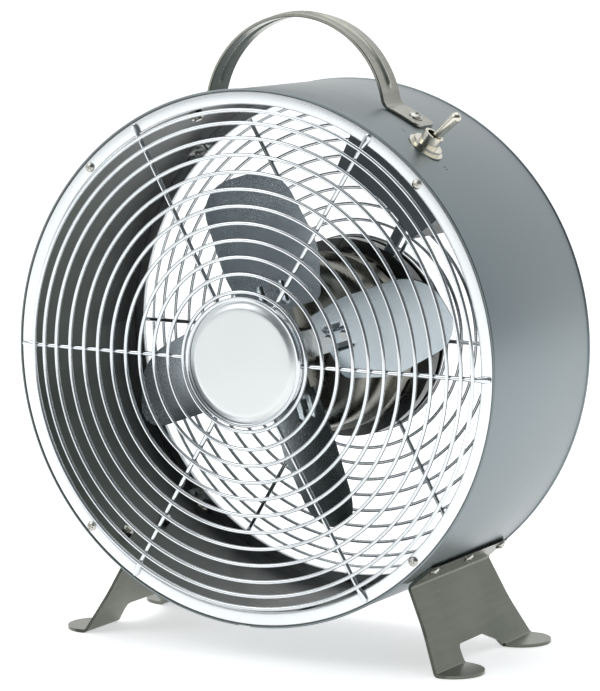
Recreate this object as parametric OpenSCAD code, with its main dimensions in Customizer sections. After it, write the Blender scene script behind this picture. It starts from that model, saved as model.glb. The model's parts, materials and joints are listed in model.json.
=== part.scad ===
// Retro drum desk fan: a rolled steel drum on two bent sheet legs, with wire grilles, a four-blade
// fan on a small induction motor, a strap handle and a toggle switch.
// Origin: on the table under the middle of the drum. +Z up, +Y to the rear, +X to the fan's right.

/* [Drum] */
// Outer radius of the drum shell
drum_r = 130.2; // [129:0.1:132]
// Depth of the drum shell from its front edge to its rear edge
drum_depth = 110; // [109:0.5:112]
// Thickness of the shell's steel sheet
sheet = 1; // [0.8:0.1:1.1]
// Section radius of the rolled bead on each edge
bead_r = 0.7; // [0.6:0.05:0.75]
// Height of the drum's axis above the table
axis_h = 146; // [145:0.5:150]

/* [Grilles] */
// Section radius of the grille's ring wire
wire_r = 0.95; // [0.8:0.05:1.1]
// Section radius of the grille's spokes
spoke_r = 1.15; // [1:0.05:1.3]
// Number of spokes in each grille
spokes = 6; // [4:1:8]
// Outer radius of the round badge
badge_r = 31.6; // [30:0.2:32]

/* [Fan] */
// Radius of the blade tips
tip_r = 89.5; // [86:0.5:91]
// Number of blades
blades = 4; // [4:1:4]
// Pitch of the blades
pitch = 30; // [26:1:32]
// Angle of the first blade from the horizontal, at rest
first_blade = 19; // [0:1:89]
// Distance of the blades' middle plane behind the drum's front edge
blade_y = 41; // [40:0.5:42]
// Radius of the motor shaft
shaft_r = 4; // [3.5:0.1:4]

/* [Motor] */
// Outer radius of the motor can's slotted part
can_r = 45; // [44.5:0.5:46]
// Outer radius of the black rear cover
cover_r = 50.5; // [50:0.5:52]
// Number of vent slots round the can
can_slots = 22; // [16:2:24]

/* [Handle] */
// Outer radius of the carrying handle
handle_r = 50; // [46:1:52]
// Width of the handle strap
strap_w = 18.5; // [16:0.5:20]
// Thickness of the handle strap
strap_t = 1.6; // [1.4:0.1:2]

/* [Legs] */
// Thickness of the leg sheet
leg_t = 1.6; // [1.4:0.1:2]
// Half-width of the stance, measured at the bend of the toes
stance = 98; // [94:1:102]
// Half-width of each round toe
toe_r = 16; // [14:1:17]

/* [Switch] */
// Angle of the toggle switch round the drum
switch_a = 52.9; // [51:0.1:54]
// Distance of the toggle switch behind the front edge
switch_y = 30.3; // [28:0.1:32]
// Tilt of the toggle lever at each end of its travel
lever_tilt = 10.7; // [8:0.1:11]

/* [Hidden] */

$fn = 96;
eps = 0.05;            // air gap between pieces that are pressed or laid together
through = 1;           // how far a cut runs past the faces that it opens
shell_in = drum_r - sheet;

// Front and rear rings
bead_mid = drum_r - 0.25; // radius of the bead's middle
ring_in = drum_r - 7.1;
ring_out = shell_in - eps;
ring_y = 0.4;          // front face of the ring behind the drum's edge
ring_t = 1;
ring_screw_r = (ring_in + ring_out) / 2;
ring_screw_angles = [45, 135, 225, 315];
ring_screw_shank = 1.15;
ring_hole = 1.4;
tab_out = shell_in - 0.15;
tab_w = 8;
tab_t = 1;
tab_l = 6;

// Grille wires: radii of the rings and height of the dome in front of the drum's edge
badge_ring = badge_r + 2.2;
front_spoke_in = 28;   // inner ends of the spokes, front and rear
rear_spoke_in = 42;
spoke_out = ring_in + 1.4;
dome = [[front_spoke_in, 4.6], [spoke_out, 2.6]];
first_ring = 42.4;
ring_step = 8.12;
wire_rings = concat([for (k = [0:8]) first_ring + ring_step * k], [ring_in - 8.6, ring_in - 2.6]);
weld = 0.3;            // how far a spoke sinks into the ring wires
spoke_drop = wire_r + spoke_r - weld;
flat_tip = [4.6, 1.2, 3.2];

// Badge
badge_back = -4;
badge_floor = 0.5;
badge_screw_r = 20;
badge_screw_angles = [30, 150, 270];
backplate_y = -1.6;
backplate_t = 1;

// Motor
can_front_r = can_r - 3;
can_wall = 1.2;
can_front_y = 57;
can_rear_y = 98.95;
can_step_y = 80;
shoulder = 10;
housing_in = 8.05;
housing_out = 9.5;
bearing_out = 8;
bearing_in = shaft_r + 0.04;
cover_front_y = 99;
cover_rear_y = drum_depth - 0.3;
cover_wall = 1.2;
cover_mouth = 36;
cover_bevel = 4;
plate_t = 1.5;
plate_y = cover_rear_y + eps;
motor_screw_r = 40;
motor_screw_angles = [45, 135, 225, 315];
gland_r = 40;
gland_bore = 3.2;
gland_body = 4.8;
block = [8, 8, 18];     // terminal block
block_a = -20;
block_r = 35;
block_y = cover_rear_y - cover_wall - block.y - 0.1;
vent_count = 8;
stack_y = 68;
stack_l = 24;
stator_in = 21.3;
rotor_r = 20.8;
slot_count = 8;
coil_r = 24.3;
coil_w = 9;
coil_h = 6;            // height of the winding heads beyond the stack

// Fan
hub_r = 11;
hub_front = 33;
hub_rear = 49;
shaft_front = 31;
camber_r = 110;        // radius of the blades' curve across the chord
blade_t = 1;
arm_t = 1.2;
arm_w = 15;
rib_r = 1;
rib_z = 0.7;           // the ribs' middle above the blade's mid-surface
rib_l = 10;
rivet_radii = [23, 32];

// Handle
strap_mid = 53.6;      // middle of the strap behind the drum's front edge
handle_z = 114.6;      // centre of the handle's curve above the drum's axis
foot_r = drum_r + eps;
foot_end = 58.7;
handle_screw_a = 62;
handle_bend = 5;
bend_a = handle_r + handle_bend;
bend_b = foot_r + strap_t + handle_bend;
bend_z = (bend_b * bend_b - bend_a * bend_a + handle_z * handle_z) / (2 * handle_z);
bend_x = sqrt(bend_b * bend_b - bend_z * bend_z);
bend_start = atan2(bend_z - handle_z, bend_x);
foot_start = atan2(bend_z, bend_x);
bead_a = 19;           // angle where the handle's pressed bead ends
bead_h = 1.2;
bead_w = 4;

// Legs, in the right leg's own section: x outward, z up from the drum's axis
leg_a = -48.5;
leg_screw_y = [26.8, 64.6, 101.2];
leg_hole = 1.7;
flange_up = 9.1;       // reach of the flange above and below its screws
flange_down = 11.4;
flange_r = drum_r + eps;
fold_z = -106.5;
toe_bend = [stance, -axis_h + leg_t / 2];
toe_x = stance + 17;
leg_front = 17.5;
leg_rear = 105;
front_toe = 23;
rear_toe = 100;
arch_top = -axis_h + 9.6;

// Switch
bushing_r = 5;
bushing_h = 8;
lever_bore = 3.6;
pivot_h = 1.5;         // lever pivot above the drum's skin
pivot_pin_r = 0.8;
lever_len = 16.2;      // lever length above the bushing
lever_tip_r = 2.5;
lever_tip = lever_len + bushing_h - pivot_h - lever_tip_r;
body_top = -1.6;
body_size = [18, 13, 20];
rocker_ratio = 0.7;
rocker_h = -11;
box_in = 104;
box_from = 37;
box_to = 65.5;
box_front = 8;
box_rear = 48;
box_wall = 1.2;

// Lead sleeve from the switch box to the motor
sleeve_a = 62.5;
sleeve_r = 3;
sleeve_far = 117;      // distance of the sleeve's long leg from the axis
sleeve_y = 103.2;      // where the sleeve enters the motor's rear cover
sleeve_over = 0.6;     // how far its legs run on past their bends

// ---- helpers ----

// The drum's own frame: y runs back from the front edge, z from the axis
module in_drum() translate([0, -drum_depth / 2, axis_h]) children();

// A mirrored copy on the drum's rear side
module at_rear() translate([0, drum_depth, 0]) mirror([0, 1, 0]) children();

// A place on the drum: x runs outward at angle a, counted up from the right
module at_angle(a, r = 0, y = 0) rotate([0, -a, 0]) translate([r, y, 0]) children();

// A solid turned about the drum's axis from a section in (radius, y)
module turned() rotate([-90, 0, 0]) rotate_extrude() children();

// The same from angle a0 to a1 only
module turned_arc(a0, a1) rotate([-90, 0, 0]) rotate(-a1) rotate_extrude(angle = a1 - a0) children();

// A round bar along the drum's radius, for cuts in the shell and what lies on it
module radial_bar(a, y, r, from, to) at_angle(a, from, y) rotate([0, 90, 0]) cylinder(r = r, h = to - from);

// A round bar along y
module axial_bar(a, radius, r, from, to)
    at_angle(a, radius, from) rotate([-90, 0, 0]) cylinder(r = r, h = to - from);

// Pan-head screw: head above z = 0, shank below
module pan_screw(head_r, head_h, shank_r, shank_l) {
    crown = 1.35 * head_r;
    difference() {
        intersection() {
            cylinder(r = head_r, h = head_h);
            translate([0, 0, head_h - crown]) sphere(r = crown);
        }
        for (a = [0, 90]) rotate(a)
            translate([-0.14 * head_r, -0.6 * head_r, 0.55 * head_h])
                cube([0.28 * head_r, 1.2 * head_r, head_h]);
    }
    translate([0, 0, -shank_l]) cylinder(r = shank_r, h = shank_l);
}

// Hexagon nut standing on z = 0
module hex_nut(r, h, hole) difference() {
    cylinder(r = r, h = h, $fn = 6);
    translate([0, 0, -through]) cylinder(r = hole, h = h + 2 * through);
}

function unit(v) = v / norm(v);

// Points of the arc that rounds corner b, between a and c, with radius r
function corner_arc(a, b, c, r, n = 8) =
    let (u = unit(a - b), v = unit(c - b), half = acos(u * v) / 2,
        m = b + unit(u + v) * r / sin(half),
        p = b + u * r / tan(half) - m, q = b + v * r / tan(half) - m,
        s = atan2(p.y, p.x), turn = (atan2(q.y, q.x) - s + 540) % 360 - 180)
    [for (i = [0:n]) m + r * [cos(s + turn * i / n), sin(s + turn * i / n)]];

// Closed outline with every corner [x, y, radius] rounded
function rounded(c) = let (k = len(c)) [for (i = [0:k - 1])
    let (a = c[(i + k - 1) % k], b = c[i], d = c[(i + 1) % k])
    each corner_arc([a.x, a.y], [b.x, b.y], [d.x, d.y], b.z)];

// Open path with its inner corners rounded
function bent_path(c, r) = concat([c[0]],
    [for (i = [1:len(c) - 2]) each corner_arc(c[i - 1], c[i], c[i + 1], r)], [c[len(c) - 1]]);

// Arc about centre c from angle a0 to a1, without its first point
function arc(c, r, a0, a1, n) = [for (i = [1:n])
    let (a = a0 + (a1 - a0) * i / n) c + r * [cos(a), sin(a)]];

// The path moved sideways by d
function beside(p, d) = [for (i = [0:len(p) - 1])
    let (t = unit(p[min(i + 1, len(p) - 1)] - p[max(i - 1, 0)])) p[i] + d * [-t.y, t.x]];

// Section of a sheet of thickness t that follows a path
module sheet_section(p, t) {
    far_side = beside(p, -t / 2);
    polygon(concat(beside(p, t / 2), [for (i = [len(p) - 1:-1:0]) far_side[i]]));
}

// Round bar between two [radius, y] points in the half-plane at angle a, longer by over at each end
module bar(a, p, q, r, over = 0) at_angle(a) translate([p.x, p.y, 0]) rotate(atan2(q.y - p.y, q.x - p.x))
    translate([-over, 0, 0]) rotate([0, 90, 0]) cylinder(r = r, h = norm(q - p) + 2 * over);

function dome_h(r) = lookup(r, dome);

// ---- drum ----

module drum_shell() color("lightslategray") in_drum() difference() {
    turned() {
        translate([shell_in, 0]) square([sheet, drum_depth]);
        for (y = [bead_r, drum_depth - bead_r]) translate([bead_mid, y]) circle(r = bead_r);
    }
    // butt seam at the bottom, with the beads stopped short of it
    at_angle(-90, shell_in - through, -through) translate([0, 0, -0.25])
        cube([sheet + 4, drum_depth + 2 * through, 0.5]);
    for (y = [-through, drum_depth - 3]) at_angle(-91, drum_r, y) translate([0, 0, -3.5])
        cube([4, 3 + through, 7]);
    for (y = leg_screw_y, a = [leg_a, 180 - leg_a])
        radial_bar(a, y, leg_hole, shell_in - 3, drum_r + 3);
    for (a = [handle_screw_a, 180 - handle_screw_a])
        radial_bar(a, strap_mid, 2.1, shell_in - 3, drum_r + 3);
    radial_bar(switch_a, switch_y, bushing_r + 0.2, shell_in - 5, drum_r + 5);
}

module seam_strip() color("lightslategray") in_drum()
    turned_arc(-94, -86) translate([shell_in - 1 - eps, 4]) square([1, drum_depth - 8]);

module ring_plate() difference() {
    turned() {
        translate([ring_in, ring_y]) square([ring_out - ring_in, ring_t]);
        translate([ring_in, ring_y]) square([0.9, 3]);
    }
    for (a = ring_screw_angles) axial_bar(a, ring_screw_r, ring_hole, -through, 4);
}

module front_ring() color("whitesmoke") in_drum() ring_plate();

module rear_ring() color("whitesmoke") in_drum() at_rear() ring_plate();

module ring_tabs() for (a = ring_screw_angles) at_angle(a) difference() {
    translate([0, ring_y + ring_t + eps, -tab_w / 2]) {
        translate([ring_in + 1.4, 0, 0]) cube([tab_out - ring_in - 1.4, tab_t, tab_w]);
        translate([tab_out - tab_t, 0, 0]) cube([tab_t, tab_l, tab_w]);
    }
    translate([ring_screw_r, 0, 0]) rotate([-90, 0, 0]) cylinder(r = ring_screw_shank + eps, h = 5);
}

module front_ring_tabs() color("silver") in_drum() ring_tabs();

module rear_ring_tabs() color("silver") in_drum() at_rear() ring_tabs();

module ring_screws() for (a = ring_screw_angles) at_angle(a, ring_screw_r, ring_y)
    rotate([90, 0, 0]) rotate(20) pan_screw(2.4, 1.5, ring_screw_shank, 6);

module front_ring_screws() color("silver") in_drum() ring_screws();

module rear_ring_screws() color("silver") in_drum() at_rear() ring_screws();

// ---- grilles ----

module grille_ring(r) turned() translate([r, -dome_h(r)]) circle(r = wire_r);

// Spokes from the given radius out to their flattened tips on the ring
module grille_spokes(inner) for (k = [0:spokes - 1]) {
    a = k * 360 / spokes;
    bar(a, [inner, spoke_drop - dome_h(inner)], [spoke_out, spoke_drop - dome_h(spoke_out)], spoke_r);
    at_angle(a, ring_in + 1, ring_y - flat_tip.y - eps) translate([0, 0, -flat_tip.z / 2]) cube(flat_tip);
}

module front_grille_rings() color("gainsboro") in_drum()
    for (r = concat([badge_ring], wire_rings)) grille_ring(r);

module front_grille_spokes() color("gainsboro") in_drum()
    grille_spokes(front_spoke_in);

module rear_grille_rings() color("gainsboro") in_drum() at_rear()
    for (r = wire_rings) if (r > cover_r - 1) grille_ring(r);

module rear_grille_spokes() color("gainsboro") in_drum() at_rear()
    grille_spokes(rear_spoke_in);

// ---- badge ----

module badge_bezel() color("silver") in_drum() difference() {
    union() {
        turned() {
            translate([0, badge_back - badge_floor]) square([badge_r, badge_floor]);
            translate([badge_r - 2, badge_back - 2]) square([2, 2]);
            translate([badge_r - 1, badge_back - 2]) circle(r = 1);
        }
        for (a = badge_screw_angles)
            axial_bar(a, badge_screw_r, 3, badge_back - 0.1, backplate_y - eps);
    }
    for (a = badge_screw_angles) axial_bar(a, badge_screw_r, 1.2, badge_back - 0.25, 0);
}

module badge_disc() color("ghostwhite") in_drum() turned() polygon([[0, badge_back - badge_floor - eps],
    [badge_r - 2.3, badge_back - badge_floor - eps], [badge_r - 2.3, badge_back - 1.2],
    [badge_r - 5, badge_back - 2.6], [0, badge_back - 2.6]]);

module badge_backplate() color("silver") in_drum() difference() {
    turned() translate([0, backplate_y]) square([badge_r - 1, backplate_t]);
    for (a = badge_screw_angles) axial_bar(a, badge_screw_r, ring_hole, -5, 5);
}

module badge_screws() color("silver") in_drum() for (a = badge_screw_angles)
    at_angle(a, badge_screw_r, backplate_y + backplate_t) rotate([-90, 0, 0])
        pan_screw(2.4, 1.4, ring_screw_shank, 3.2);

// ---- motor ----

// Radial vent slots, cut through both the cover's back and the plate
module vents() for (k = [0:vent_count - 1]) at_angle(k * 360 / vent_count, 16, cover_rear_y - 4)
    translate([0, 0, -2]) cube([14, 8, 4]);

module mount_holes(r) {
    for (a = motor_screw_angles) axial_bar(a, motor_screw_r, r, cover_rear_y - 5, cover_rear_y + 5);
    axial_bar(-90, gland_r, gland_body + eps, cover_rear_y - 5, cover_rear_y + 5);
}

module motor_mount_plate() color("black") in_drum() difference() {
    turned() translate([0, plate_y]) square([cover_r, plate_t]);
    mount_holes(2.1);
    vents();
}

module motor_screws() color("silver") in_drum() for (a = motor_screw_angles)
    at_angle(a, motor_screw_r, plate_y + plate_t) rotate([-90, 0, 0]) pan_screw(3.6, 2, 1.9, 9);

module motor_nuts() color("silver") in_drum() for (a = motor_screw_angles)
    at_angle(a, motor_screw_r, cover_rear_y - cover_wall - eps) rotate([90, 0, 0])
        hex_nut(3.8, 3, 1.95);

module can_outline(inset) {
    corner = [can_front_r - shoulder, can_front_y + shoulder];
    translate([0, can_front_y + inset]) square([corner.x, can_step_y - can_front_y]);
    intersection() {
        translate(corner) circle(r = shoulder - inset);
        translate([corner.x - eps, 0]) square([shoulder + 1, corner.y]);
    }
    translate([0, corner.y]) square([can_front_r - inset, can_rear_y - corner.y]);
    translate([0, can_step_y + inset]) square([can_r - inset, can_rear_y - can_step_y + inset]);
}

module motor_can() color("dimgray") in_drum() difference() {
    turned() {
        difference() {
            can_outline(0);
            can_outline(can_wall);
            translate([-through, 0]) square([housing_out + through, can_front_y + 10]);
            translate([0, can_rear_y]) square([can_r + 1, 5]);
        }
        translate([housing_in, can_front_y - 7]) square([housing_out - housing_in, 13]);
    }
    for (k = [0:can_slots - 1]) at_angle(4 + k * 360 / can_slots, can_r - 3, 90) {
        translate([0, -2.2, -3.2]) cube([6, 4.4, 6.4]);
        for (z = [-3.2, 3.2]) translate([0, 0, z]) rotate([0, 90, 0]) cylinder(r = 2.2, h = 6);
    }
}

module cover_outline(inset) {
    rim = cover_r - inset;
    back = cover_rear_y - inset;
    polygon([[0, cover_front_y + inset], [rim, cover_front_y + inset], [rim, cover_rear_y - cover_bevel],
        [cover_r - cover_bevel, back], [0, back]]);
}

module motor_rear_cover() color("black") in_drum() difference() {
    turned() {
        difference() {
            cover_outline(0);
            cover_outline(cover_wall);
            translate([-1, cover_front_y - 1]) square([cover_mouth + 1, 4]);
        }
        translate([housing_in, cover_rear_y - 15]) square([housing_out - housing_in, 15 - eps]);
    }
    mount_holes(2.1);
    vents();
    radial_bar(sleeve_a, sleeve_y, sleeve_r + 0.2, cover_r - 5, cover_r + 2);
}

module stator_core() color("slategray") in_drum() difference() {
    turned() translate([stator_in, stack_y]) square([can_front_r - can_wall - 0.1 - stator_in, stack_l]);
    for (k = [0:slot_count - 1]) at_angle(k * 360 / slot_count, 0, stack_y - through) {
        translate([24, 0, -4]) cube([10, stack_l + 2 * through, 8]);
        translate([stator_in - 2, 0, -1]) cube([4, stack_l + 2 * through, 2]);
    }
}

module stator_coils() color("peru") in_drum() {
    for (k = [0:slot_count - 1]) at_angle(k * 360 / slot_count, coil_r, stack_y - 0.5)
        translate([0, 0, -3.5]) cube([coil_w, stack_l + 1, 7]);
    for (y = [stack_y - coil_h - 0.2, stack_y + stack_l + 0.2])
        turned() translate([coil_r, y]) square([coil_w, coil_h]);
}

module bearing(y) turned() translate([bearing_in, y]) square([bearing_out - bearing_in, 10]);

module front_bearing() color("peru") in_drum() bearing(can_front_y - 5);

module rear_bearing() color("peru") in_drum() bearing(cover_rear_y - 14);

module bearing_retainers() color("silver") in_drum()
    for (y = [can_front_y + 5 + eps, cover_rear_y - 15])
        turned() translate([5, y]) square([bearing_out - 5, 0.8]);

module terminal_block() color("ivory") in_drum() at_angle(block_a, block_r, block_y)
    translate([0, 0, -block.z / 2]) difference() {
        cube(block);
        for (z = [3, 7.5, 12]) translate([2, -1, z]) cube([block.x - 4, 6, 3]);
    }

module cord_gland() color("dimgray") in_drum() at_angle(-90, gland_r, cover_rear_y - 6) rotate([-90, 0, 0])
    difference() {
        union() {
            cylinder(r = gland_body, h = 6 + plate_t + 1);
            translate([0, 0, 6 + plate_t + 2 * eps]) cylinder(r = 6, h = 2);
        }
        translate([0, 0, -through]) cylinder(r = gland_bore, h = 15);
    }

module lead_sleeve() color("lightsteelblue") in_drum() {
    corner = [sleeve_far, sleeve_y - 12];
    turn_in = [sleeve_far - 11, sleeve_y];
    bar(sleeve_a, [sleeve_far, box_rear + eps], corner + [0, sleeve_over], sleeve_r);
    bar(sleeve_a, corner, turn_in, sleeve_r + 0.12, sleeve_over);
    bar(sleeve_a, turn_in + [sleeve_over, 0], [cover_r - 3, sleeve_y], sleeve_r);
}

module rotor_core() color("slategray") in_drum()
    turned() translate([shaft_r + 0.02, stack_y]) square([rotor_r - shaft_r - 0.02, stack_l]);

module rotor_end_rings() color("silver") in_drum() for (y = [stack_y - 3.5, stack_y + stack_l])
    turned() translate([11, y]) square([9, 3.5]);

module motor_shaft() color("silver") in_drum()
    turned() translate([0, shaft_front]) square([shaft_r, cover_rear_y - 3 - shaft_front]);

module shaft_spacers() color("ivory") in_drum() {
    turned() translate([shaft_r + 0.02, can_front_y + 6.2]) square([2.4, stack_y - can_front_y - 6.2]);
    turned() translate([shaft_r + 0.02, stack_y + stack_l])
        square([2.4, cover_rear_y - 15.3 - stack_y - stack_l]);
}

// ---- fan ----

// Places a blade's flat frame: x across the chord, y outward, z towards the front
module at_blade(k) translate([0, blade_y, 0]) rotate([0, 90 - first_blade - k * 360 / blades, 0])
    rotate([90, 0, 0]) rotate([0, pitch, 0]) children();

// Cambered sheet from the mid-surface plus z0 to plus z1, cut to an outline
module cambered(z0, z1) intersection() {
    translate([0, 0, -15]) linear_extrude(height = 35) children();
    translate([0, 5, camber_r]) rotate([-90, 0, 0]) difference() {
        cylinder(r = camber_r - z0, h = tip_r);
        translate([0, 0, -1]) cylinder(r = camber_r - z1, h = tip_r + 2);
    }
}

blade_outline = rounded([[-15, 20, 3], [-20.5, 44, 60], [-21.5, tip_r - 0.5, 17], [20, tip_r, 19],
    [28.5, 46, 40], [22, 20, 5]]);

module blade(k) color("slategray") in_drum() at_blade(k) difference() {
    union() {
        cambered(-blade_t / 2, blade_t / 2) polygon(blade_outline);
        for (x = [-5.5, 5.5]) translate([x, rivet_radii.x, rib_z]) rotate([-90, 0, 0])
            cylinder(r = rib_r, h = rib_l);
    }
    for (y = rivet_radii) translate([0, y, -5]) cylinder(r = 1.3, h = 10);
}

module blade_1() blade(0);
module blade_2() blade(1);
module blade_3() blade(2);
module blade_4() blade(3);

module fan_hub() color("silver") in_drum() difference() {
    union() {
        turned() translate([shaft_r + 0.02, hub_front])
            square([hub_r - shaft_r - 0.02, hub_rear - hub_front]);
        for (k = [0:blades - 1]) at_blade(k) cambered(-blade_t / 2 - eps - arm_t, -blade_t / 2 - eps)
            translate([-arm_w / 2, 8]) square([arm_w, 30]);
    }
    axial_bar(0, 0, shaft_r + 0.02, 0, 80);
    for (k = [0:blades - 1]) at_blade(k) for (y = rivet_radii)
        translate([0, y, -6]) cylinder(r = 1.3, h = 10);
    radial_bar(first_blade + 45, hub_front + 3.5, 1.95, 2, 20);
}

module hub_set_screw() color("dimgray") in_drum() difference() {
    radial_bar(first_blade + 45, hub_front + 3.5, 1.9, shaft_r + 0.1, hub_r - 0.5);
    at_angle(first_blade + 45, hub_r - 3, hub_front + 3.5) rotate([0, 90, 0]) cylinder(r = 1, h = 5, $fn = 6);
}

module blade_rivets() color("silver") in_drum() for (k = [0:blades - 1]) at_blade(k)
    for (y = rivet_radii) translate([0, y, 0]) {
        translate([0, 0, -2.6]) cylinder(r = 1.25, h = 4);
        translate([0, 0, blade_t / 2 + 2 * eps]) cylinder(r = 2.1, h = 0.8);
        translate([0, 0, -2.9]) cylinder(r = 2.1, h = 1);
    }

// ---- switch ----

// The switch's frame: x outward from the drum's skin, y to the rear, z round the drum
module in_switch() in_drum() at_angle(switch_a, drum_r, switch_y) children();

module switch_body() color("darkslategray") in_switch() difference() {
    translate([body_top - body_size.x, -body_size.y / 2, -body_size.z / 2]) cube(body_size);
    translate([body_top - body_size.x + 1.5, -body_size.y / 2 + 1.5, -body_size.z / 2 + 1.5])
        cube([body_size.x - 3, body_size.y - 3, body_size.z - 3]);
    translate([body_top - 3, 0, 0]) rotate([0, 90, 0]) cylinder(r = bushing_r - 0.4 + eps, h = 5);
}

module switch_bushing() color("tan") in_switch() {
    rotate([0, 90, 0]) difference() {
        union() {
            translate([0, 0, body_top + eps]) cylinder(r = bushing_r, h = bushing_h - body_top - eps);
            translate([0, 0, body_top - 1.5]) cylinder(r = bushing_r - 0.4, h = 3);
        }
        translate([0, 0, body_top - 3]) cylinder(r = lever_bore, h = bushing_h + 6);
    }
    translate([pivot_h, lever_bore + 0.6, 0]) rotate([90, 0, 0])
        cylinder(r = pivot_pin_r, h = 2 * lever_bore + 1.2);
}

module switch_washer() color("silver") in_switch() rotate([0, 90, 0]) difference() {
    translate([0, 0, eps]) cylinder(r = 9.2, h = 0.6);
    translate([0, 0, -through]) cylinder(r = bushing_r + 0.1, h = 4);
}

module switch_nut() color("tan") in_switch() rotate([0, 90, 0]) difference() {
    translate([0, 0, 0.6 + 2 * eps]) cylinder(r = 7.6, h = 2);
    translate([0, 0, -through]) cylinder(r = bushing_r + eps, h = 6);
}

// Half-section of the lever, its pivot ball at the origin
module lever_section() intersection() {
    union() {
        circle(r = lever_bore - 0.06);
        polygon([[0, 0], [1.9, 0], [lever_tip_r, lever_tip], [0, lever_tip]]);
        translate([0, lever_tip]) circle(r = lever_tip_r);
        translate([0, -9]) square([1.3, 9]);
    }
    translate([0, -20]) square([20, 60]);
}

// Lever at rest leans down round the drum, by its tilt
module switch_lever() color("tan") in_switch() translate([pivot_h, 0, 0]) difference() {
    rotate([0, 90 + lever_tilt, 0]) rotate_extrude() lever_section();
    rotate([90, 0, 0]) translate([0, 0, -5]) cylinder(r = pivot_pin_r + 0.04, h = 10);
}

module switch_rocker() color("goldenrod") in_switch() translate([rocker_h, 0, 0])
    rotate([0, -rocker_ratio * lever_tilt, 0]) {
        translate([0, -3.5, -5.5]) cube([1, 7, 11]);
        rotate([90, 0, 0]) translate([0, 0, -4.4]) cylinder(r = 1, h = 8.8);
    }

module switch_terminals() color("goldenrod") in_switch() for (z = [-6, 0, 6])
    translate([body_top - body_size.x - 4.5, -2.4, z - 0.4]) cube([4.5 - eps, 4.8, 0.8]);

// Deep tray over the switch, open towards the skin
module switch_box() color("darkslategray") in_drum() {
    depth = shell_in - 0.3 - box_in;
    wall_a = box_wall / box_in * 180 / PI;
    turned_arc(box_from, box_to) translate([box_in, box_front]) square([box_wall, box_rear - box_front]);
    for (y = [box_front, box_rear - box_wall])
        turned_arc(box_from, box_to) translate([box_in, y]) square([depth, box_wall]);
    for (a = [box_from, box_to - wall_a])
        turned_arc(a, a + wall_a) translate([box_in, box_front]) square([depth, box_rear - box_front]);
}

// ---- handle ----

// Middle line of the right foot and bend, from the foot's end up to the handle's curve
strap_foot = concat(arc([0, 0], foot_r + strap_t / 2, foot_end, foot_start, 6),
    arc([bend_x, bend_z], handle_bend + strap_t / 2, 180 + foot_start, 180 + bend_start, 10));
strap_line = concat(strap_foot,
    arc([0, handle_z], handle_r - strap_t / 2, bend_start, 180 - bend_start, 72),
    [for (i = [len(strap_foot) - 2:-1:0]) [-strap_foot[i].x, strap_foot[i].y]]);
bead_line = arc([0, handle_z], handle_r + bead_h / 2 - 0.2, bead_a, 180 - bead_a, 60);

// A section in the drum's (x, z) plane, made width wide about the strap's middle
module strap_band(width) translate([0, strap_mid + width / 2, 0]) rotate([90, 0, 0])
    linear_extrude(height = width) children();

module handle_strap() color("tan") in_drum() difference() {
    union() {
        strap_band(strap_w) sheet_section(strap_line, strap_t);
        strap_band(bead_w) sheet_section(bead_line, bead_h + 0.4);
    }
    for (a = [handle_screw_a, 180 - handle_screw_a])
        radial_bar(a, strap_mid, 2.1, drum_r - 3, drum_r + 8);
}

module handle_screws() color("silver") in_drum() for (a = [handle_screw_a, 180 - handle_screw_a])
    at_angle(a, foot_r + strap_t + 0.1, strap_mid) rotate([0, 90, 0]) pan_screw(3.4, 1.9, 1.9, 7);

module handle_nuts() color("silver") in_drum() for (a = [handle_screw_a, 180 - handle_screw_a])
    at_angle(a, shell_in - 0.1, strap_mid) rotate([0, -90, 0]) hex_nut(3.8, 3, 1.95);

// ---- legs ----

// Bent section: flange along the drum's tangent, plate down to the toes, toes flat on the table
module leg_section() {
    out = [cos(leg_a), sin(leg_a)];
    along = [-sin(leg_a), cos(leg_a)];
    mid = (flange_r + leg_t / 2) * out;
    sheet_section(bent_path([mid + flange_up * along, mid - flange_down * along, toe_bend,
        [toe_x + 5, toe_bend.y]], 2.5), leg_t);
}

// Side outline of the plate and flange, in (y, z)
leg_side = rounded([
    [leg_front + 4.5, -96, 1], [leg_front, fold_z, 8], [leg_front - 3, -126, 40],
    [front_toe - toe_r, -axis_h - 1, 0.5], [39, -axis_h - 1, 0.5], [39, -142, 1], [40, arch_top, 3],
    [67, arch_top, 4], [80, -142, 3], [84, -axis_h - 1, 0.5], [rear_toe + toe_r, -axis_h - 1, 0.5],
    [leg_rear + 3, -126, 40], [leg_rear, fold_z, 8], [leg_rear - 1, -96, 1]]);

module leg() in_drum() difference() {
    intersection() {
        translate([0, 130, 0]) rotate([90, 0, 0]) linear_extrude(height = 140) leg_section();
        translate([60, 0, 0]) rotate([90, 0, 90]) linear_extrude(height = 60) polygon(leg_side);
        translate([0, 0, -axis_h - 1]) linear_extrude(height = 70) {
            translate([60, 0]) square([stance - 60 + 0.5, 130]);
            for (y = [front_toe, rear_toe]) translate([toe_x - toe_r, y]) circle(r = toe_r);
        }
    }
    for (y = leg_screw_y) radial_bar(leg_a, y, leg_hole, drum_r - 3, drum_r + 6);
}

module leg_right() color("darkgray") leg();

module leg_left() color("darkgray") mirror([1, 0, 0]) leg();

module leg_screws() color("silver") in_drum() for (y = leg_screw_y, a = [leg_a, 180 - leg_a])
    at_angle(a, flange_r + leg_t + 0.1, y) rotate([0, 90, 0]) pan_screw(2.7, 1.6, 1.5, 6.5);

module leg_nuts() color("silver") in_drum() for (y = leg_screw_y, a = [leg_a, 180 - leg_a])
    at_angle(a, shell_in - 0.1, y) rotate([0, -90, 0]) hex_nut(3.1, 2.4, 1.55);

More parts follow.
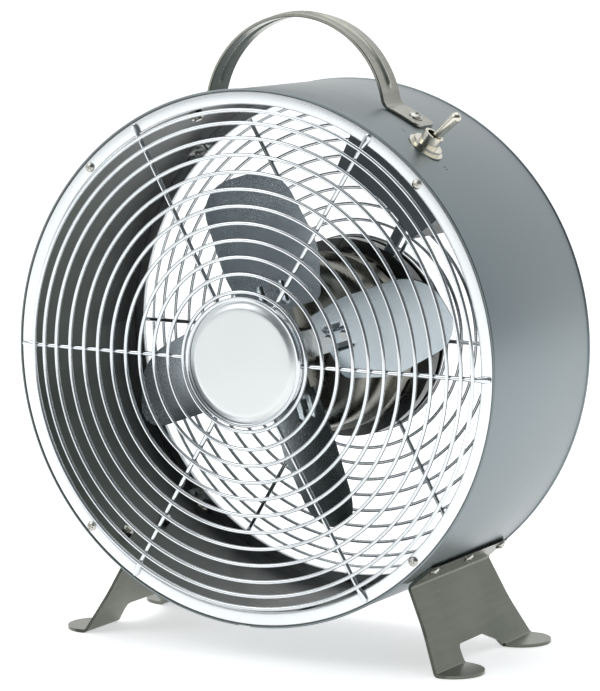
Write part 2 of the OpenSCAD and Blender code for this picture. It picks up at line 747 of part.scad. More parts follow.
drum_shell();
seam_strip();
front_ring();
rear_ring();
front_ring_tabs();
rear_ring_tabs();
front_ring_screws();
rear_ring_screws();
front_grille_rings();
front_grille_spokes();
rear_grille_rings();
rear_grille_spokes();
badge_bezel();
badge_disc();
badge_backplate();
badge_screws();
motor_mount_plate();
motor_screws();
motor_nuts();
motor_can();
motor_rear_cover();
stator_core();
stator_coils();
front_bearing();
rear_bearing();
bearing_retainers();
terminal_block();
cord_gland();
lead_sleeve();
rotor_core();
rotor_end_rings();
motor_shaft();
shaft_spacers();
fan_hub();
hub_set_screw();
blade_1();
blade_2();
blade_3();
blade_4();
blade_rivets();
switch_body();
switch_bushing();
switch_washer();
switch_nut();
switch_lever();
switch_rocker();
switch_terminals();
switch_box();
handle_strap();
handle_screws();
handle_nuts();
leg_left();
leg_right();
leg_screws();
leg_nuts();
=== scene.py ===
import json
from math import acos, atan2, ceil, cos, exp, pi, radians, sin, sqrt, tan

import bmesh
import bpy
from mathutils import Matrix, Vector


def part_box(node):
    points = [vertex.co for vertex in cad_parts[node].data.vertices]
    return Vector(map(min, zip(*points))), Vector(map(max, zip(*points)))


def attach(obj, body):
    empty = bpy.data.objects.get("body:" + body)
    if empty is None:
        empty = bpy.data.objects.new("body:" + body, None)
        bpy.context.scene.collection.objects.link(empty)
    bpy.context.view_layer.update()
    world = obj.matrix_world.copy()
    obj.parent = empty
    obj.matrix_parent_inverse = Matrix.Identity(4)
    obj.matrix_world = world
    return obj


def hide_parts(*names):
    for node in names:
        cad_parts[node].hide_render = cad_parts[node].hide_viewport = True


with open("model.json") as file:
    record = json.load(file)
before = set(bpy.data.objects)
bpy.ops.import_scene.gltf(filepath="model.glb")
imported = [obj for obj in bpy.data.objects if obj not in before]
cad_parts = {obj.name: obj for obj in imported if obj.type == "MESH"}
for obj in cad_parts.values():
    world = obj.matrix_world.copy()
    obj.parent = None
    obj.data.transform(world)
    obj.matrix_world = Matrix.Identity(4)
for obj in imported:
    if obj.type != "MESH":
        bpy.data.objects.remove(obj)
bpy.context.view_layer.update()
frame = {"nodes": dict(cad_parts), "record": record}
nodes = frame["nodes"]

# ---- the frame's own measures, in metres ----

MM = 0.001
shell_lo, shell_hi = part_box("drum_shell")
shaft_lo, shaft_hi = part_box("motor_shaft")
AXIS_Z = (shaft_lo.z + shaft_hi.z) / 2
FRONT_Y = shell_lo.y
DEPTH = (shell_hi.y - shell_lo.y) / MM
BEAD_R = 0.7
DRUM_R = shell_hi.x / MM - 0.45
BEAD_MID = DRUM_R - 0.25
RING_IN = DRUM_R - 7.1
SHEET = 1.0
SHELL_IN = DRUM_R - SHEET


# ---- camera, floor and light ----

def place_camera():
    azimuth, elevation, roll = radians(28.24), radians(8.61), radians(0.29)
    back = Vector((sin(azimuth) * cos(elevation), -cos(azimuth) * cos(elevation), sin(elevation)))
    right = (-back).cross(Vector((0, 0, 1))).normalized()
    up = right.cross(-back)
    x = cos(roll) * right + sin(roll) * up
    y = -sin(roll) * right + cos(roll) * up
    data = bpy.data.cameras.new("camera")
    data.lens, data.sensor_width = 174.7, 36.0
    data.shift_x, data.shift_y = -0.0171, 0.0664
    data.clip_end = 100
    camera = bpy.data.objects.new("camera", data)
    place = Matrix((x, y, back)).transposed().to_4x4()
    place.translation = Vector((0.7814, FRONT_Y - 1.3904, 0.3729))
    camera.matrix_world = place
    bpy.context.scene.collection.objects.link(camera)
    bpy.context.scene.camera = camera


def area_light(name, place, aim, size, power):
    data = bpy.data.lights.new(name, "AREA")
    data.shape, data.size, data.size_y = "RECTANGLE", size[0], size[1]
    data.energy = power
    light = bpy.data.objects.new(name, data)
    light.location = place
    light.rotation_euler = (Vector(aim) - Vector(place)).to_track_quat("-Z", "Y").to_euler()
    bpy.context.scene.collection.objects.link(light)


def studio_world():
    """A plain studio: white behind and to the left, falling to a dark side at the right front."""
    world = bpy.data.worlds.new("studio")
    bpy.context.scene.world = world
    world.use_nodes = True
    tree = world.node_tree
    tree.nodes.clear()
    coords = tree.nodes.new("ShaderNodeTexCoord")
    towards = tree.nodes.new("ShaderNodeVectorMath")
    towards.operation = "DOT_PRODUCT"
    towards.inputs[1].default_value = Vector((-0.72, 0.66, 0.22)).normalized()
    tree.links.new(coords.outputs["Generated"], towards.inputs[0])
    half = tree.nodes.new("ShaderNodeMath")
    half.operation = "MULTIPLY_ADD"
    half.inputs[1].default_value, half.inputs[2].default_value = 0.5, 0.5
    tree.links.new(towards.outputs["Value"], half.inputs[0])
    ramp = tree.nodes.new("ShaderNodeValToRGB")
    ramp.color_ramp.interpolation = "EASE"
    stops = [(0.0, (0.10, 0.11, 0.12)), (0.30, (0.13, 0.15, 0.16)), (0.50, (0.55, 0.58, 0.60)),
             (0.70, (0.88, 0.90, 0.91)), (1.0, (1.0, 1.0, 1.0))]
    for i, (at_, colour) in enumerate(stops):
        stop = ramp.color_ramp.elements[i] if i < 2 else ramp.color_ramp.elements.new(at_)
        stop.position, stop.color = at_, (*colour, 1)
    tree.links.new(half.outputs["Value"], ramp.inputs["Fac"])
    light = tree.nodes.new("ShaderNodeBackground")
    light.inputs["Strength"].default_value = 1.0
    tree.links.new(ramp.outputs["Color"], light.inputs["Color"])
    out = tree.nodes.new("ShaderNodeOutputWorld")
    tree.links.new(light.outputs["Background"], out.inputs["Surface"])


place_camera()
studio_world()
bpy.context.scene.view_settings.view_transform = "Standard"
area_light("key", (-1.6, -1.8, 2.4), (0, 0, 0.15), (1.8, 1.8), 17)
area_light("top", (0.2, 0.3, 2.2), (0, 0, 0.1), (2.2, 1.6), 10)


# ---- materials ----

class Nodes:
    """A short way to write a node material: each call adds a node and returns it or its output."""

    def __init__(self, name):
        self.material = bpy.data.materials.new(name)
        self.material.use_nodes = True
        self.tree = self.material.node_tree
        self.shader = self.tree.nodes["Principled BSDF"]
        self.coords = self.add("ShaderNodeTexCoord").outputs["Object"]

    @classmethod
    def reopen(cls, material):
        m = cls.__new__(cls)
        m.material, m.tree = material, material.node_tree
        m.shader = m.tree.nodes["Principled BSDF"]
        m.coords = m.add("ShaderNodeTexCoord").outputs["Object"]
        return m

    def add(self, kind, **settings):
        node = self.tree.nodes.new(kind)
        for key, value in settings.items():
            setattr(node, key, value)
        return node

    def link(self, source, target):
        self.tree.links.new(source, target)

    def maths(self, operation, a, b=None):
        node = self.add("ShaderNodeMath", operation=operation)
        for socket, value in zip(node.inputs, (a, b)):
            if value is None:
                continue
            if isinstance(value, (int, float)):
                socket.default_value = value
            else:
                self.link(value, socket)
        return node.outputs["Value"]

    def stretched(self, scale, source=None):
        mapping = self.add("ShaderNodeMapping")
        mapping.inputs["Scale"].default_value = scale
        self.link(source or self.coords, mapping.inputs["Vector"])
        return mapping.outputs["Vector"]

    def noise(self, vector, scale, detail=3.0, roughness=0.55):
        node = self.add("ShaderNodeTexNoise")
        node.inputs["Scale"].default_value = scale
        node.inputs["Detail"].default_value = detail
        node.inputs["Roughness"].default_value = roughness
        self.link(vector, node.inputs["Vector"])
        return node.outputs["Fac"]

    def spread(self, value, low, high, source_low=0.3, source_high=0.7):
        node = self.add("ShaderNodeMapRange")
        limits = (("From Min", source_low), ("From Max", source_high), ("To Min", low), ("To Max", high))
        for name, number in limits:
            node.inputs[name].default_value = number
        self.link(value, node.inputs["Value"])
        return node.outputs["Result"]

    def colours(self, value, stops):
        node = self.add("ShaderNodeValToRGB")
        ramp = node.color_ramp
        for i, (place, colour) in enumerate(stops):
            stop = ramp.elements[i] if i < 2 else ramp.elements.new(place)
            stop.position, stop.color = place, (*colour, 1)
        self.link(value, node.inputs["Fac"])
        return node.outputs["Color"]

    def around_drum(self):
        """Coordinates on the drum: distance round it, distance back, radius, all in metres."""
        parts = self.add("ShaderNodeSeparateXYZ")
        self.link(self.coords, parts.inputs["Vector"])
        x, y, z = parts.outputs
        height = self.maths("SUBTRACT", z, AXIS_Z)
        angle = self.maths("ARCTAN2", height, x)
        joined = self.add("ShaderNodeCombineXYZ")
        self.link(self.maths("MULTIPLY", angle, DRUM_R * MM), joined.inputs["X"])
        self.link(y, joined.inputs["Y"])
        squares = self.maths("MULTIPLY", x, x), self.maths("MULTIPLY", height, height)
        radius = self.maths("SQRT", self.maths("ADD", *squares))
        self.link(radius, joined.inputs["Z"])
        return joined.outputs["Vector"]

    def bump(self, height, distance):
        node = self.add("ShaderNodeBump")
        node.inputs["Distance"].default_value = distance
        node.inputs["Strength"].default_value = 1.0
        self.link(height, node.inputs["Height"])
        self.link(node.outputs["Normal"], self.shader.inputs["Normal"])


GLOSS_SPREAD = 0.35    # how far a metal's roughness strays from its middle, as a share of it


def metal(name, light, dark, rough, brush=(1, 1, 1), grain=900.0, depth=0.00002, blotch=14.0,
          round_drum=False):
    """Metal with a colour that drifts in soft patches, brushed grain along one direction, and uneven gloss."""
    m = Nodes(name)
    m.shader.inputs["Metallic"].default_value = 1.0
    where = m.around_drum() if round_drum else m.coords
    patches = m.noise(where, blotch, 2.0, 0.5)
    streaks = m.noise(m.stretched(brush, where), grain, 4.0, 0.6)
    mixed = m.maths("ADD", m.maths("MULTIPLY", patches, 0.7), m.maths("MULTIPLY", streaks, 0.3))
    m.link(m.colours(mixed, [(0.36, dark), (0.64, light)]), m.shader.inputs["Base Color"])
    gloss = m.spread(mixed, rough * (1 - GLOSS_SPREAD), rough * (1 + GLOSS_SPREAD))
    m.link(gloss, m.shader.inputs["Roughness"])
    m.bump(streaks, depth)
    return m.material


def drum_metal():
    """Brushed blue-grey steel outside, and painted shade on the faces inside the drum, growing darker towards the
    back.
    """
    material = metal("drum_steel", (0.270, 0.308, 0.318), (0.222, 0.256, 0.270), 0.36, (6, 220, 60), 4.0,
                     0.000008, 5.0, round_drum=True)
    tree = material.node_tree
    shader = tree.nodes["Principled BSDF"]
    outside = shader.inputs["Base Color"].links[0].from_socket
    m = Nodes.reopen(material)
    where = m.around_drum()
    parts = m.add("ShaderNodeSeparateXYZ")
    m.link(where, parts.inputs["Vector"])
    # Painted shade: faces inside the drum's skin take a dark colour that darkens further with depth towards the
    # back.
    skin = m.maths("GREATER_THAN", parts.outputs["Z"], (DRUM_R - 0.5) * MM)
    depth = m.spread(parts.outputs["Y"], 0.0, 1.0, FRONT_Y, FRONT_Y + DEPTH * MM)
    drift = m.noise(m.stretched((14, 5, 5), where), 4.0, 3.0, 0.6)
    painted_shade_inside = m.colours(m.maths("ADD", depth, m.maths("MULTIPLY", m.maths("SUBTRACT", drift, 0.5), 0.5)),
                       [(0.05, (0.105, 0.118, 0.108)), (0.55, (0.060, 0.068, 0.064)),
                        (0.95, (0.016, 0.018, 0.018))])
    mix = m.add("ShaderNodeMix", data_type="RGBA")
    m.link(skin, mix.inputs[0])
    m.link(painted_shade_inside, mix.inputs[6])
    m.link(outside, mix.inputs[7])
    m.link(mix.outputs[2], shader.inputs["Base Color"])
    return material


def coated(name, light, dark, rough, grain=1400.0, depth=0.00003, blotch=40.0, coat=0.0, metallic=0.0):
    """Paint, plastic, rubber or nylon: fine texture, slight colour drift and uneven gloss."""
    m = Nodes(name)
    m.shader.inputs["Metallic"].default_value = metallic
    m.shader.inputs["Coat Weight"].default_value = coat
    patches = m.noise(m.coords, blotch, 3.0, 0.55)
    fine = m.noise(m.coords, grain, 2.0, 0.6)
    m.link(m.colours(patches, [(0.35, dark), (0.65, light)]), m.shader.inputs["Base Color"])
    m.link(m.spread(fine, rough * 0.8, rough * 1.2), m.shader.inputs["Roughness"])
    m.bump(fine, depth)
    return m.material


MATERIALS = {
    "drum_steel": drum_metal(),
    "ring_chrome": metal("ring_chrome", (0.90, 0.92, 0.93), (0.85, 0.88, 0.89), 0.30, (8, 60, 320), 5.0,
                         0.000006, 9.0, round_drum=True),
    "wire_chrome": metal("wire_chrome", (0.82, 0.84, 0.85), (0.68, 0.71, 0.73), 0.14, blotch=30.0, depth=0.000006),
    "plated_steel": metal("plated_steel", (0.62, 0.63, 0.62), (0.50, 0.51, 0.50), 0.32),
    "screw_steel": metal("screw_steel", (0.66, 0.65, 0.60), (0.48, 0.47, 0.43), 0.26, blotch=120.0),
    "badge_chrome": metal("badge_chrome", (0.80, 0.82, 0.83), (0.68, 0.71, 0.73), 0.12, depth=0.000004),
    "badge_face": metal("badge_face", (0.77, 0.79, 0.79), (0.74, 0.76, 0.76), 0.40, (40, 1, 400), 3.0, 0.000008),
    "black_enamel": coated("black_enamel", (0.022, 0.024, 0.025), (0.014, 0.015, 0.016), 0.32, coat=0.3),
    "gunmetal": metal("gunmetal", (0.36, 0.35, 0.31), (0.20, 0.20, 0.175), 0.30, blotch=45.0, depth=0.00001),
    "lamination_steel": metal("lamination_steel", (0.40, 0.40, 0.40), (0.28, 0.28, 0.29), 0.42, (1, 2600, 1), 1.0,
                              0.00008),
    "copper_winding": coated("copper_winding", (0.62, 0.26, 0.11), (0.45, 0.17, 0.07), 0.32, metallic=0.8,
                             grain=500.0, depth=0.0002, coat=0.4),
    "sintered_bronze": metal("sintered_bronze", (0.55, 0.40, 0.22), (0.42, 0.30, 0.17), 0.45, depth=0.00004),
    "shaft_steel": metal("shaft_steel", (0.60, 0.61, 0.62), (0.50, 0.51, 0.52), 0.20, (1, 900, 1), 2.0),
    "cage_aluminium": metal("cage_aluminium", (0.70, 0.71, 0.72), (0.58, 0.59, 0.60), 0.42, depth=0.00005),
    "nylon_white": coated("nylon_white", (0.80, 0.79, 0.74), (0.72, 0.71, 0.66), 0.42),
    "gland_rubber": coated("gland_rubber", (0.030, 0.030, 0.031), (0.020, 0.020, 0.021), 0.62),
    "sleeve_grey": coated("sleeve_grey", (0.22, 0.27, 0.29), (0.16, 0.20, 0.22), 0.38),
    "hub_chrome": metal("hub_chrome", (0.66, 0.68, 0.68), (0.50, 0.52, 0.52), 0.22, depth=0.000008),
    "blade_steel": metal("blade_steel", (0.62, 0.68, 0.71), (0.50, 0.57, 0.61), 0.23, (1, 1, 1), 700.0,
                         0.000006, 22.0),
    "switch_plastic": coated("switch_plastic", (0.035, 0.036, 0.038), (0.022, 0.023, 0.024), 0.45),
    "switch_nickel": metal("switch_nickel", (0.78, 0.75, 0.66), (0.62, 0.59, 0.50), 0.16, blotch=90.0,
                           depth=0.000005),
    "contact_brass": metal("contact_brass", (0.72, 0.53, 0.25), (0.58, 0.42, 0.19), 0.28),
    "box_plastic": coated("box_plastic", (0.040, 0.055, 0.062), (0.026, 0.036, 0.042), 0.40, grain=900.0,
                          depth=0.00006),
    "handle_nickel": metal("handle_nickel", (0.42, 0.42, 0.37), (0.25, 0.25, 0.215), 0.21, (90, 3, 90), 4.0,
                           0.000010, 18.0),
    "leg_nickel": metal("leg_nickel", (0.200, 0.208, 0.172), (0.130, 0.140, 0.116), 0.27, (60, 4, 60), 5.0,
                        0.000014, 24.0),
}


def floor():
    m = Nodes("studio_floor")
    m.link(m.colours(m.noise(m.coords, 3.0), [(0.3, (0.90, 0.90, 0.90)), (0.7, (0.93, 0.93, 0.93))]),
           m.shader.inputs["Base Color"])
    m.shader.inputs["Roughness"].default_value = 0.7
    m.shader.inputs["Emission Color"].default_value = (1, 1, 1, 1)
    m.shader.inputs["Emission Strength"].default_value = 0.55
    half = 25.0
    mesh = bpy.data.meshes.new("studio_floor")
    mesh.from_pydata([(-half, -half, 0), (half, -half, 0), (half, half, 0), (-half, half, 0)], [], [(0, 1, 2, 3)])
    mesh.materials.append(m.material)
    obj = bpy.data.objects.new("studio_floor", mesh)
    bpy.context.scene.collection.objects.link(obj)


floor()


# ---- mesh helpers: lengths in millimetres, places in the drum's own frame ----

SMOOTH_ANGLE = radians(32)


def at(angle, radius, y):
    """A place on the drum: angle in degrees counted up from the right, radius, distance behind its front edge."""
    a = radians(angle)
    return Vector((radius * cos(a) * MM, FRONT_Y + y * MM, AXIS_Z + radius * sin(a) * MM))


def corner_arc(a, b, c, r, n):
    """The arc that rounds corner b, between a and c, with radius r."""
    a, b, c = Vector(a), Vector(b), Vector(c)
    u, v = (a - b).normalized(), (c - b).normalized()
    half = acos(max(-1, min(1, u.dot(v)))) / 2
    centre = b + (u + v).normalized() * r / sin(half)
    p, q = b + u * r / tan(half) - centre, b + v * r / tan(half) - centre
    start = atan2(p.y, p.x)
    turn = (atan2(q.y, q.x) - start + 3 * pi) % (2 * pi) - pi
    angles = [start + turn * i / n for i in range(n + 1)]
    return [(centre.x + r * cos(a), centre.y + r * sin(a)) for a in angles]


def rounded(corners, n=5):
    """A closed outline with every corner (x, y, radius) rounded."""
    out, k = [], len(corners)
    for i, (x, y, r) in enumerate(corners):
        if r == 0:
            out.append((x, y))
            continue
        out += corner_arc(corners[i - 1][:2], (x, y), corners[(i + 1) % k][:2], r, n)
    return out


def bent(path, r, n=8):
    """An open path with its inner corners rounded."""
    out = [tuple(path[0])]
    for i in range(1, len(path) - 1):
        out += corner_arc(path[i - 1], path[i], path[i + 1], r, n)
    return out + [tuple(path[-1])]


def arc(centre, r, a0, a1, n):
    angles = [radians(a0 + (a1 - a0) * i / n) for i in range(n + 1)]
    return [(centre[0] + r * cos(a), centre[1] + r * sin(a)) for a in angles]


class Shape:
    """Vertices and faces gathered for one piece."""

    def __init__(self):
        self.verts, self.faces = [], []

    def ring(self, points):
        start = len(self.verts)
        self.verts += [Vector(p) for p in points]
        return list(range(start, len(self.verts)))

    def bridge(self, a, b, closed=True):
        n = len(a)
        for i in range(n if closed else n - 1):
            j = (i + 1) % n
            quad = list(dict.fromkeys((a[i], a[j], b[j], b[i])))
            if len(quad) > 2:
                self.faces.append(quad)

    def lathe(self, profile, closed=True, steps=256, start=-90.0, turn=360.0, place=at):
        """Turns a profile of (radius, y) about the drum's axis. A point on the axis becomes a pole."""
        count = steps if turn >= 360 else steps + 1
        rings = []
        for radius, y in profile:
            if radius < 1e-6:
                rings.append(self.ring([place(0, 0, y)]) * count)
            else:
                rings.append(self.ring([place(start + turn * i / steps, radius, y) for i in range(count)]))
        for a, b in zip(rings, rings[1:] + (rings[:1] if closed else [])):
            self.bridge(a, b, closed=turn >= 360)
        if turn < 360 and closed:
            self.faces.append([r[0] for r in rings])
            self.faces.append([r[-1] for r in reversed(rings)])
        return self

    def sweep(self, path, section, place):
        """Carries section(i), a list of (side, across) points, along a flat path.
        place(p, q, across) puts a point of the path's plane, and an offset across it, in the row frame."""
        rings, last = [], len(path) - 1
        for i, (p, q) in enumerate(path):
            before, after = path[max(i - 1, 0)], path[min(i + 1, last)]
            t = Vector((after[0] - before[0], after[1] - before[1])).normalized()
            rings.append(self.ring([place(p - s * t.y, q + s * t.x, c) for s, c in section(i)]))
        for a, b in zip(rings, rings[1:]):
            self.bridge(a, b)
        self.faces.append(rings[0][::-1])
        self.faces.append(rings[-1])
        return self


def finish_piece(name, shape, body, slot, replaced=(), bevel=0.0, smooth=SMOOTH_ANGLE):
    """Makes the mesh object, shades it, puts it on its body and hides the CAD parts it stands in for."""
    mesh = bpy.data.meshes.new(name)
    bm = bmesh.new()
    verts = [bm.verts.new(v) for v in shape.verts]
    for f in shape.faces:
        bm.faces.new([verts[i] for i in f])
    bmesh.ops.remove_doubles(bm, verts=bm.verts, dist=1e-7)
    bmesh.ops.recalc_face_normals(bm, faces=bm.faces)
    bm.to_mesh(mesh)
    bm.free()
    mesh.shade_smooth()
    mesh.set_sharp_from_angle(angle=smooth)
    mesh.materials.append(MATERIALS[slot])
    obj = bpy.data.objects.new(name, mesh)
    bpy.context.scene.collection.objects.link(obj)
    if bevel:
        soften(obj, bevel)
    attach(obj, body)
    if replaced:
        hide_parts(*replaced)
    return obj


def soften(obj, width):
    edge = obj.modifiers.new("soft_edges", "BEVEL")
    edge.width, edge.segments = width * MM, 2
    edge.limit_method, edge.angle_limit = "ANGLE", radians(40)
    edge.harden_normals = True


# ---- the drum and its rings ----

SEAM_GAP = 0.25 / DRUM_R * 180 / pi
BEAD_STOP = 1.5        # degrees to each side of the seam where the edge beads stop


def drum():
    shape = Shape()
    near, far, corner = 0.05, DEPTH - 0.05, 0.3
    sheet = rounded([(SHELL_IN, near, corner), (DRUM_R, near, corner),
                     (DRUM_R, far, corner), (SHELL_IN, far, corner)])
    shape.lathe(sheet, start=-90 + SEAM_GAP, turn=360 - 2 * SEAM_GAP, steps=360)
    for y in (BEAD_R, DEPTH - BEAD_R):
        bead = arc((BEAD_MID, y), BEAD_R, 0, 360, 16)[:-1]
        shape.lathe(bead, start=-90 + 0.5, turn=360 - 2 * BEAD_STOP, steps=360)
    finish_piece("drum", shape, "housing", "drum_steel", ["drum_shell"])


def edge_ring(name, node, flip):
    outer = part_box(node)[1].x / MM
    inner, lip, face, back = RING_IN, 3.4, 0.4, 1.4
    profile = rounded([(inner, face, 0.7), (outer, face, 0.25), (outer, back, 0.25), (inner + 0.9, back, 0.35),
                       (inner + 0.9, lip, 0.3), (inner, lip, 0.3)])
    if flip:
        profile = [(r, DEPTH - y) for r, y in profile]
    finish_piece(name, Shape().lathe(profile, steps=320), "housing", "ring_chrome", [node])


# ---- grilles ----

BADGE_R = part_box("badge_bezel")[1].x / MM
BADGE_RING = BADGE_R + 2.2
DOME_IN, DOME_OUT = (28.0, 4.6), (RING_IN + 1.4, 2.6)
RINGS = [42.4 + 8.12 * k for k in range(9)] + [RING_IN - 8.6, RING_IN - 2.6]
WIRE_R, SPOKE_R, WELD = 0.95, 1.15, 0.3
SPOKE_DROP = WIRE_R + SPOKE_R - WELD


def dome_height(r):
    (r0, h0), (r1, h1) = DOME_IN, DOME_OUT
    return h0 + (h1 - h0) * (r - r0) / (r1 - r0)


def grille(side, rings, inner, flip):
    """The ring wires as one piece and the spokes, with their flattened tips, as another."""
    def y_at(y):
        return DEPTH - y if flip else y

    wires = Shape()
    for r in rings:
        wires.lathe([(p, y_at(q)) for p, q in arc((r, -dome_height(r)), WIRE_R, 0, 360, 14)[:-1]], steps=300)
    finish_piece(f"{side}_ring_wires", wires, "housing", "wire_chrome", [f"{side}_grille_rings"])

    flat_y = -0.27
    corners = [(r, SPOKE_DROP - dome_height(r)) for r in (inner, RING_IN - 1.5)] + [(RING_IN + 2.4, flat_y)]
    path = corners + [(RING_IN + 4.2, flat_y), (RING_IN + 5.2, flat_y), (RING_IN + 5.6, flat_y)]
    dense = [path[0]]
    for (r0, y0), (r1, y1) in zip(path, path[1:]):
        parts = max(1, ceil(sqrt((r1 - r0) ** 2 + (y1 - y0) ** 2) / 4.0))
        dense += [(r0 + (r1 - r0) * i / parts, y0 + (y1 - y0) * i / parts) for i in range(1, parts + 1)]

    def section(i):
        r = dense[i][0]
        flat = min(1, max(0, (r - RING_IN) / 2.4))
        flat = flat * flat * (3 - 2 * flat)
        thick, wide = SPOKE_R + (0.58 - SPOKE_R) * flat, SPOKE_R + (1.75 - SPOKE_R) * flat
        end = max(0, (r - RING_IN - 4.2) / 1.4)
        shrink = sqrt(max(0.04, 1 - end * end))
        return [(thick * (0.7 + 0.3 * shrink) * sin(2 * pi * k / 16), wide * shrink * cos(2 * pi * k / 16))
                for k in range(16)]

    spokes = Shape()
    for k in range(6):
        turn = k * 60
        across = Vector((-sin(radians(turn)), 0, cos(radians(turn)))) * MM
        spokes.sweep(dense, section, lambda r, y, c: at(turn, r, y_at(y)) + across * c)
    finish_piece(f"{side}_spokes", spokes, "housing", "wire_chrome", [f"{side}_grille_spokes"])


# ---- badge ----

def badge():
    back, floor_y = -4.0, 0.5
    rim = rounded([(BADGE_R, back + 0.15, 0.2), (BADGE_R, back - 2.0, 0.8), (BADGE_R - 0.9, back - 2.95, 0.45),
                   (BADGE_R - 1.9, back - 2.6, 0.4), (BADGE_R - 2.2, back + 0.15, 0.2)], 6)
    shape = Shape().lathe([(r, min(y, back)) for r, y in rim])
    shape.lathe(rounded([(0.5, back - floor_y, 0), (BADGE_R - 2.0, back - floor_y, 0), (BADGE_R - 2.0, back, 0.0),
                         (0.5, back, 0)]), steps=128)
    posts = (30, 150, 270)
    for a in posts:
        c = at(a, 20, 0)
        def post(angle, r, y, c=c):
            return c + Vector((r * cos(radians(angle)), y, r * sin(radians(angle)))) * MM
        shape.lathe([(3.0, back - 0.1), (3.0, -1.7), (1.3, -1.7), (1.3, back - 0.1)], steps=32, place=post)
    finish_piece("badge_rim", shape, "housing", "badge_chrome", ["badge_bezel"])

    face = back - 2.55
    dish = [(0, back - floor_y - 0.05), (BADGE_R - 2.35, back - floor_y - 0.05), (BADGE_R - 2.35, back - 1.0)]
    slope = [(BADGE_R - 2.45 - 3.6 * t, back - 1.05 - 1.5 * (t * t * (3 - 2 * t)))
             for t in [i / 10 for i in range(11)]]
    shape = Shape().lathe(dish + slope + [(BADGE_R - 7.5, face - 0.03), (10, face - 0.04), (0, face - 0.05)],
                          closed=False, steps=192)
    finish_piece("badge_plate", shape, "housing", "badge_face", ["badge_disc"])


# ---- fan blades ----

PITCH, FIRST_BLADE, BLADE_Y, CAMBER_R = radians(30), 19, 41, 110
TIP_R = 89.5
BLADE_OUTLINE = rounded([(-15, 20, 3), (-20.5, 44, 60), (-21.5, TIP_R - 0.5, 17), (20, TIP_R, 19), (28.5, 46, 40),
                         (22, 20, 5)], 14)


def blade_span(y):
    """Where a line across the blade at radius y meets its outline."""
    hits = []
    for (x0, y0), (x1, y1) in zip(BLADE_OUTLINE, BLADE_OUTLINE[1:] + BLADE_OUTLINE[:1]):
        if (y0 <= y) != (y1 <= y):
            hits.append(x0 + (x1 - x0) * (y - y0) / (y1 - y0))
    return min(hits), max(hits)


def at_blade(k, x, y, z):
    """A point of blade k's flat frame: x across the chord, y outward, z towards the front."""
    p = Matrix.Rotation(PITCH, 3, "Y") @ Vector((x, y, z))
    p = Matrix.Rotation(pi / 2, 3, "X") @ p
    p = Matrix.Rotation(radians(90 - FIRST_BLADE - 90 * k), 3, "Y") @ p
    return Vector((p.x * MM, FRONT_Y + (BLADE_Y + p.y) * MM, AXIS_Z + p.z * MM))


def blade_height(x, y):
    """Height of the blade's middle surface: its camber and two short pressed ribs by the hub."""
    z = CAMBER_R - sqrt(CAMBER_R ** 2 - x * x)
    for rib in (-5.5, 5.5):
        along = max(0, abs(y - 29) - 4.2)
        z += 1.3 * exp(-((x - rib) ** 2 + along ** 2) / 1.3)
    return z


def blade(k):
    rows, columns, half = 84, 64, 0.45
    low, high = 20.02, TIP_R - 0.3
    shape, grid = Shape(), []
    for j in range(rows + 1):
        t = j / rows
        eased = 0.5 - 0.5 * cos(pi * t)
        y = low + (high - low) * (eased if j in (0, rows) else 0.35 * eased + 0.65 * t)
        x0, x1 = blade_span(y)
        grid.append([(x0 + (x1 - x0) * i / columns, y) for i in range(columns + 1)])
    sheets = []
    for side in (1, -1):
        sheets.append([shape.ring([at_blade(k, x, y, blade_height(x, y) + side * half) for x, y in row])
                       for row in grid])
    for sheet in sheets:
        for a, b in zip(sheet, sheet[1:]):
            shape.bridge(a, b, closed=False)
    front, rear = sheets
    def rim(sheet):
        return sheet[0] + [r[-1] for r in sheet[1:-1]] + sheet[-1][::-1] + [r[0] for r in sheet[-2:0:-1]]
    shape.bridge(rim(front), rim(rear))
    finish_piece(f"fan_blade_{k + 1}", shape, "rotor", "blade_steel", [f"blade_{k + 1}"], bevel=0.25,
                 smooth=radians(50))


# ---- handle ----

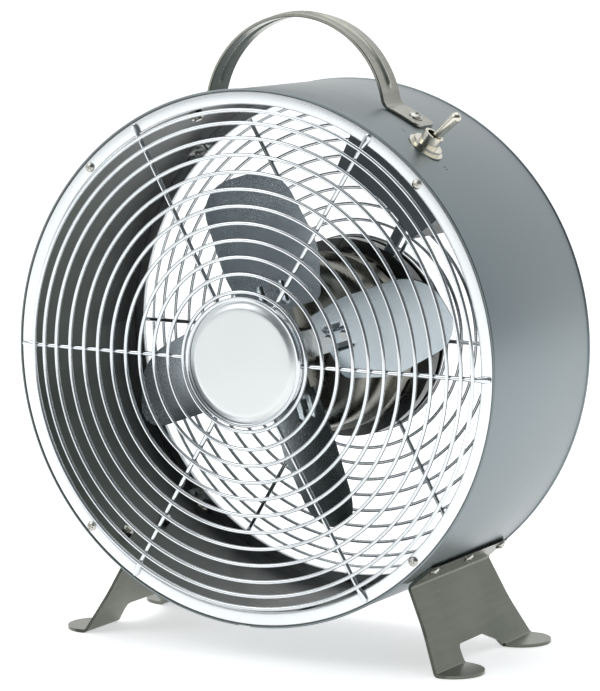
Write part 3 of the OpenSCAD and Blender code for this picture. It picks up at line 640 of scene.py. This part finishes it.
def handle():
    top_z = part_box("handle_strap")[1].z
    outer, thick, bead_h, bead_from = 50.0, 1.6, 1.2, 19.0
    centre_z = (top_z - AXIS_Z) / MM - outer - bead_h
    middle, width = 53.6, 18.5
    foot_r, bend_r = DRUM_R + 0.05, 5.0
    bend_a, bend_b = outer + bend_r, foot_r + thick + bend_r
    bend_z = (bend_b ** 2 - bend_a ** 2 + centre_z ** 2) / (2 * centre_z)
    bend_x = sqrt(bend_b ** 2 - bend_z ** 2)
    curve_from = atan2(bend_z - centre_z, bend_x) * 180 / pi
    foot_to = atan2(bend_z, bend_x) * 180 / pi
    foot = arc((0, 0), foot_r + thick / 2, 58.7, foot_to, 24)
    bend = arc((bend_x, bend_z), bend_r + thick / 2, 180 + foot_to, 180 + curve_from, 14)[1:]
    curve = arc((0, centre_z), outer - thick / 2, curve_from, 180 - curve_from, 160)[1:]
    right = foot + bend
    path = right + curve[:-1] + [(-x, z) for x, z in reversed(right)]
    lengths = [0.0]
    for (x0, z0), (x1, z1) in zip(path, path[1:]):
        lengths.append(lengths[-1] + sqrt((x1 - x0) ** 2 + (z1 - z0) ** 2))
    whole, half, corner = lengths[-1], width / 2, 4.0

    def section(i):
        x, z = path[i]
        along = min(lengths[i], whole - lengths[i])
        w = half
        if along < corner:
            w -= corner - sqrt(corner ** 2 - (corner - along) ** 2)
        a = atan2(z - centre_z, x) * 180 / pi
        a = min(a, 180 - a)
        rise = min(1, max(0, (a - bead_from) / 5 + 0.5)) if z > bend_z else 0
        rise = rise * rise * (3 - 2 * rise)
        t, r, out = thick / 2, 0.35, []
        top = [-w + r * 0.3, -w + r] + [-3.6 + 7.2 * j / 12 for j in range(13)] + [w - r, w - r * 0.3]
        for c in top:
            lift = bead_h * rise * exp(-(c / 1.75) ** 2) if abs(c) < 3.7 else 0
            inset = 0.22 if abs(c) > w - r * 0.5 else 0
            out.append((-t - lift + inset, c))
        out += [(-t + r, w), (t - r, w)]
        for c in reversed(top):
            lift = bead_h * 0.8 * rise * exp(-(c / 1.3) ** 2) if abs(c) < 3.7 else 0
            inset = 0.22 if abs(c) > w - r * 0.5 else 0
            out.append((t - lift - inset, c))
        out += [(t - r, -w), (-t + r, -w)]
        return out

    def place(x, z, across):
        return Vector((x * MM, FRONT_Y + (middle + across) * MM, AXIS_Z + z * MM))

    finish_piece("handle", Shape().sweep(path, section, place), "housing", "handle_nickel", ["handle_strap"])


# ---- motor lead ----

LEAD_ANGLE, LEAD_R = 62.5, 3


def lead():
    cover_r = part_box("motor_rear_cover")[1].x / MM
    far_r, enters_y = 117, 103.2
    path = bent([(far_r, 48.1), (far_r, 91.2), (106, enters_y), (cover_r - LEAD_R, enters_y)], 9.0, 10)
    across = Vector((-sin(radians(LEAD_ANGLE)), 0, cos(radians(LEAD_ANGLE)))) * MM
    ring = [(LEAD_R * sin(2 * pi * k / 20), LEAD_R * cos(2 * pi * k / 20)) for k in range(20)]
    shape = Shape().sweep(path, lambda i: ring, lambda r, y, c: at(LEAD_ANGLE, r, y) + across * c)
    finish_piece("motor_lead", shape, "housing", "sleeve_grey", ["lead_sleeve"])


# ---- marks beside the switch ----

MARK_Y = 30.3
MARKS = ((46.9, 0.28, 1.25), (46.2, 0.28, 1.25), (59.0, 1.25, 0.3))    # angle, half height, half width


def marks():
    """Two short strokes below the switch and one above it, as thin enamel on the drum's skin."""
    shape = Shape()
    for angle, tall, side in MARKS:
        spread = tall / DRUM_R * 180 / pi
        corners = [(angle - spread, MARK_Y - side), (angle + spread, MARK_Y - side),
                   (angle + spread, MARK_Y + side), (angle - spread, MARK_Y + side)]
        low = shape.ring([at(a, DRUM_R - 0.05, q) for a, q in corners])
        high = shape.ring([at(a, DRUM_R + 0.04, q) for a, q in corners])
        shape.bridge(low, high)
        shape.faces += [low[::-1], high]
    finish_piece("switch_marks", shape, "housing", "black_enamel")


# ---- pieces kept from the CAD ----

def dress_frame():
    """Every CAD node that stays in view gets its slot's material and softened edges."""
    slots = {s["node"]: s["material_slot"] for s in frame["record"]["subparts"]}
    for name, obj in nodes.items():
        material = MATERIALS[slots[name]]
        if not obj.data.materials:
            obj.data.materials.append(material)
        for i in range(len(obj.material_slots)):
            obj.material_slots[i].material = material
        soften(obj, 0.15)


drum()
edge_ring("front_trim_ring", "front_ring", False)
edge_ring("rear_trim_ring", "rear_ring", True)
grille("front", [BADGE_RING] + RINGS, DOME_IN[0], False)
grille("rear", [r for r in RINGS if r > 49.5], 42.0, True)
badge()
for k in range(4):
    blade(k)
handle()
lead()
marks()
dress_frame()
